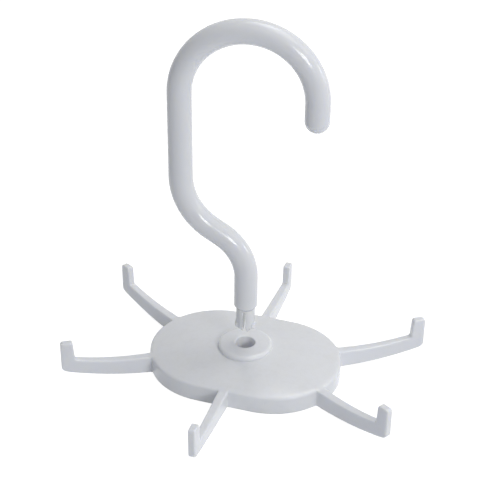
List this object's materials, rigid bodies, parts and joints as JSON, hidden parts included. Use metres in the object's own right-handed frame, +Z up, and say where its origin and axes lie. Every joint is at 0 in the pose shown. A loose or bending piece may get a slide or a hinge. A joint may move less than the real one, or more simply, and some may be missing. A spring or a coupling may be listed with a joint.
{
  "type": "belt hanger",
  "caption": "Rail hanger for belts: an oval plate with upturned arms round its rim, hung from a large open hook that plugs into a boss in its middle and swivels.",
  "frame": {"origin": "middle of the plate's underside, on the hole's axis", "axes": "+Z up along the hole's axis towards the hook, +X along the oval's long axis, +Y to the back"},
  "size_m": [0.1448, 0.1362, 0.1611],
  "materials": {
    "plate_plastic": "smooth glossy white moulded plastic",
    "plug_plastic": "smooth glossy white moulded plastic",
    "hook_plastic": "smooth glossy white moulded plastic"
  },
  "bodies": {
    "plate": {"arm_plate": "plate_plastic"},
    "plug": {"split_plug": "plug_plastic"},
    "hook": {"hook": "hook_plastic"}
  },
  "joints": [
    {"name": "plug_in", "type": "slide", "parent": "plate", "child": "plug", "axis": [0, 0, -1], "range_m": [0, 0.0182], "deforming": ["split_plug"]},
    {"name": "swivel", "type": "hinge", "parent": "plug", "child": "hook", "pos_m": [0, 0, 0.032], "axis": [0, 0, 1], "continuous": true}
  ]
}
